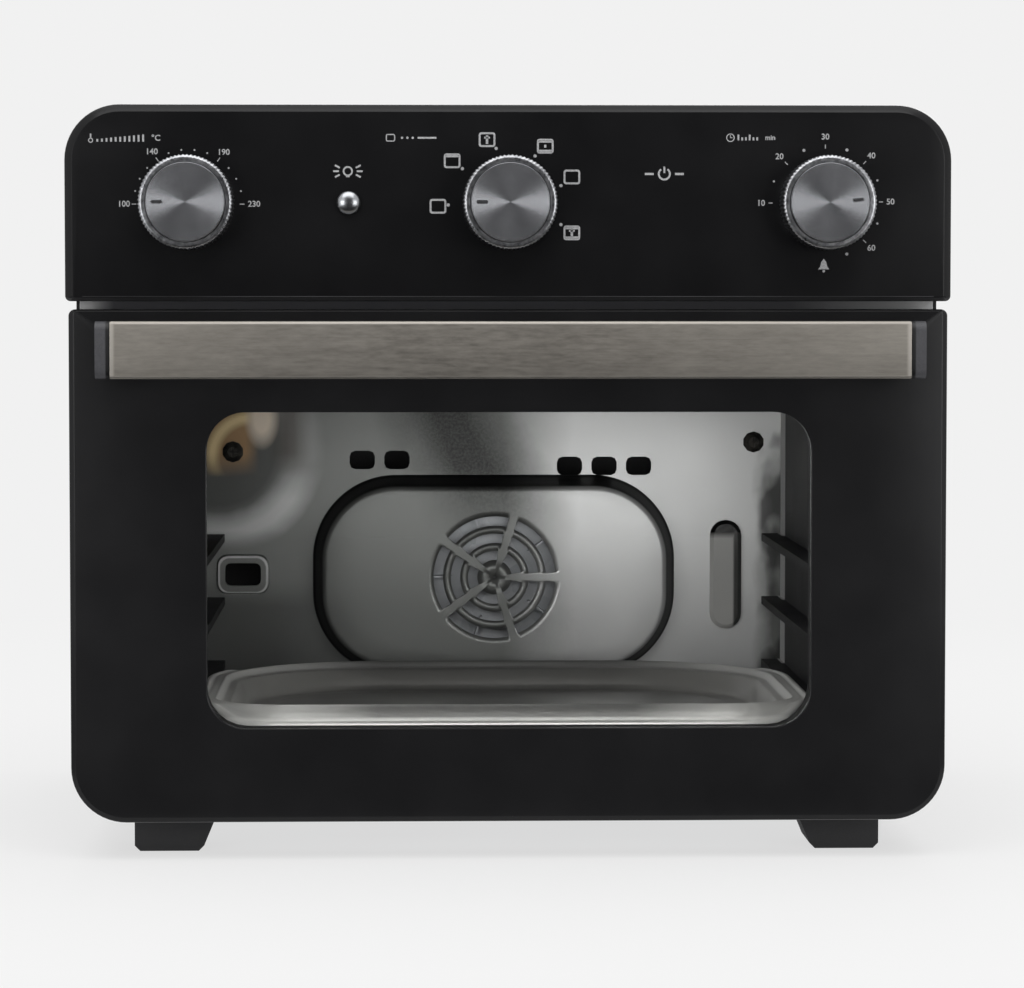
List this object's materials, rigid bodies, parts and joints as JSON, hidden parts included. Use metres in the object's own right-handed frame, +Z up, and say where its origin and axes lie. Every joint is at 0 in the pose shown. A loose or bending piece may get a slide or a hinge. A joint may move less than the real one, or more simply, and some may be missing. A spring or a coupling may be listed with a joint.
{
  "type": "electric countertop oven",
  "caption": "Electric countertop oven with a drop-down glass door on stay arms, bar handle, turning control knobs, push button, fan-stirred cavity, heating rods and a baking tray",
  "frame": {"origin": "centre of the underside of the feet, in the middle of the object's width and depth", "axes": "+X to the right seen from the front, +Y to the rear, +Z up; the door and controls face -Y"},
  "size_m": [0.4, 0.3772, 0.3417],
  "materials": {
    "black_gloss": "black gloss moulding with a softly bevelled rim",
    "casing_paint": "black powder-coated sheet steel",
    "zinc": "zinc-plated sheet steel, dull",
    "cavity_steel": "bright aluminised steel with a fine grain",
    "tray_steel": "pressed steel, softly polished",
    "brushed_handle": "brushed aluminium, grain along the bar",
    "cap_grey": "dark grey satin plastic",
    "spun_metal": "disc turned with fine rings",
    "knob_rim": "satin plated barrel with fine flutes",
    "chrome": "bright plated dome",
    "dark_plastic": "black moulded plastic",
    "rubber": "matt black rubber",
    "seal": "soft dark silicone",
    "ceramic": "pale heat-proof moulding",
    "heater": "dark oxidised heating rod",
    "motor_iron": "laminated iron with a varnished winding",
    "window_glass": "clear tempered glass, slightly smoked",
    "lamp_glass": "clear lamp glass"
  },
  "bodies": {
    "housing": {"outer_shell": "casing_paint", "base_plate": "zinc", "rear_panel": "casing_paint", "front_frame": "casing_paint", "control_fascia": "black_gloss", "cavity_liner": "cavity_steel", "cavity_rear_wall": "cavity_steel", "fan_cover": "cavity_steel", "door_seal": "seal", "upper_heating_element": "heater", "lower_heating_element": "heater", "fan_motor": "motor_iron", "motor_bracket": "zinc", "lamp_lens": "lamp_glass", "lamp_bulb": "lamp_glass", "lamp_holder": "ceramic", "thermostat_body": "ceramic", "function_switch_body": "ceramic", "timer_body": "zinc", "light_switch_body": "ceramic", "pilot_lamp": "lamp_glass", "cord_gland": "rubber", "wall_screw_left": "zinc", "wall_screw_right": "zinc", "hinge_bracket_left": "zinc", "hinge_bracket_right": "zinc", "rear_spacer_left": "dark_plastic", "rear_spacer_right": "dark_plastic", "foot_front_left": "rubber", "foot_front_right": "rubber", "foot_rear_left": "rubber", "foot_rear_right": "rubber"},
    "door": {"door_frame": "black_gloss", "door_glass": "window_glass", "door_inner_panel": "casing_paint", "door_handle": "brushed_handle", "handle_cap_left": "cap_grey", "handle_cap_right": "cap_grey", "hinge_pin_left": "zinc", "hinge_pin_right": "zinc"},
    "stay_arm_left": {"stay_arm_left": "zinc"},
    "stay_arm_right": {"stay_arm_right": "zinc"},
    "temperature_control": {"temperature_knob": "knob_rim", "temperature_knob_cap": "spun_metal", "temperature_shaft": "zinc"},
    "function_control": {"function_knob": "knob_rim", "function_knob_cap": "spun_metal", "function_shaft": "zinc"},
    "timer_control": {"timer_knob": "knob_rim", "timer_knob_cap": "spun_metal", "timer_shaft": "zinc"},
    "light_button": {"light_button": "chrome"},
    "fan": {"fan_impeller": "zinc", "fan_shaft": "zinc", "cooling_fan": "zinc"},
    "tray": {"baking_tray": "tray_steel"}
  },
  "joints": [
    {"name": "door_hinge", "type": "hinge", "parent": "housing", "child": "door", "pos_m": [0, -0.1426, 0.0263], "axis": [1, 0, 0], "range_deg": [0, 80], "stiffness_Nm_per_rad": 0.5, "springref_deg": -34.38},
    {"name": "stay_arm_left_pivot", "type": "hinge", "parent": "door", "child": "stay_arm_left", "pos_m": [-0.164, -0.1406, 0.0733], "axis": [1, 0, 0], "range_deg": [-54.4, 0]},
    {"name": "stay_arm_right_pivot", "type": "hinge", "parent": "door", "child": "stay_arm_right", "pos_m": [0.164, -0.1406, 0.0733], "axis": [1, 0, 0], "range_deg": [-54.4, 0]},
    {"name": "temperature_turn", "type": "hinge", "parent": "housing", "child": "temperature_control", "pos_m": [-0.1448, -0.1516, 0.2975], "axis": [0, 1, 0], "range_deg": [0, 180]},
    {"name": "function_turn", "type": "hinge", "parent": "housing", "child": "function_control", "pos_m": [0, -0.1516, 0.2975], "axis": [0, 1, 0], "range_deg": [0, 207]},
    {"name": "timer_turn", "type": "hinge", "parent": "housing", "child": "timer_control", "pos_m": [0.1428, -0.1516, 0.2975], "axis": [0, 1, 0], "range_deg": [-266, 45]},
    {"name": "light_button_push", "type": "slide", "parent": "housing", "child": "light_button", "axis": [0, 1, 0], "range_m": [0, 0.0025], "stiffness_N_per_m": 400, "springref_m": -0.002},
    {"name": "fan_spin", "type": "hinge", "parent": "housing", "child": "fan", "pos_m": [0, 0.1384, 0.1083], "axis": [0, 1, 0], "continuous": true},
    {"name": "tray_slide", "type": "slide", "parent": "housing", "child": "tray", "axis": [0, -1, 0], "range_m": [0, 0.008]}
  ],
  "couplings": [
    {"joint": "stay_arm_left_pivot", "follows": "door_hinge", "ratio": -0.68},
    {"joint": "stay_arm_right_pivot", "follows": "door_hinge", "ratio": -0.68}
  ]
}
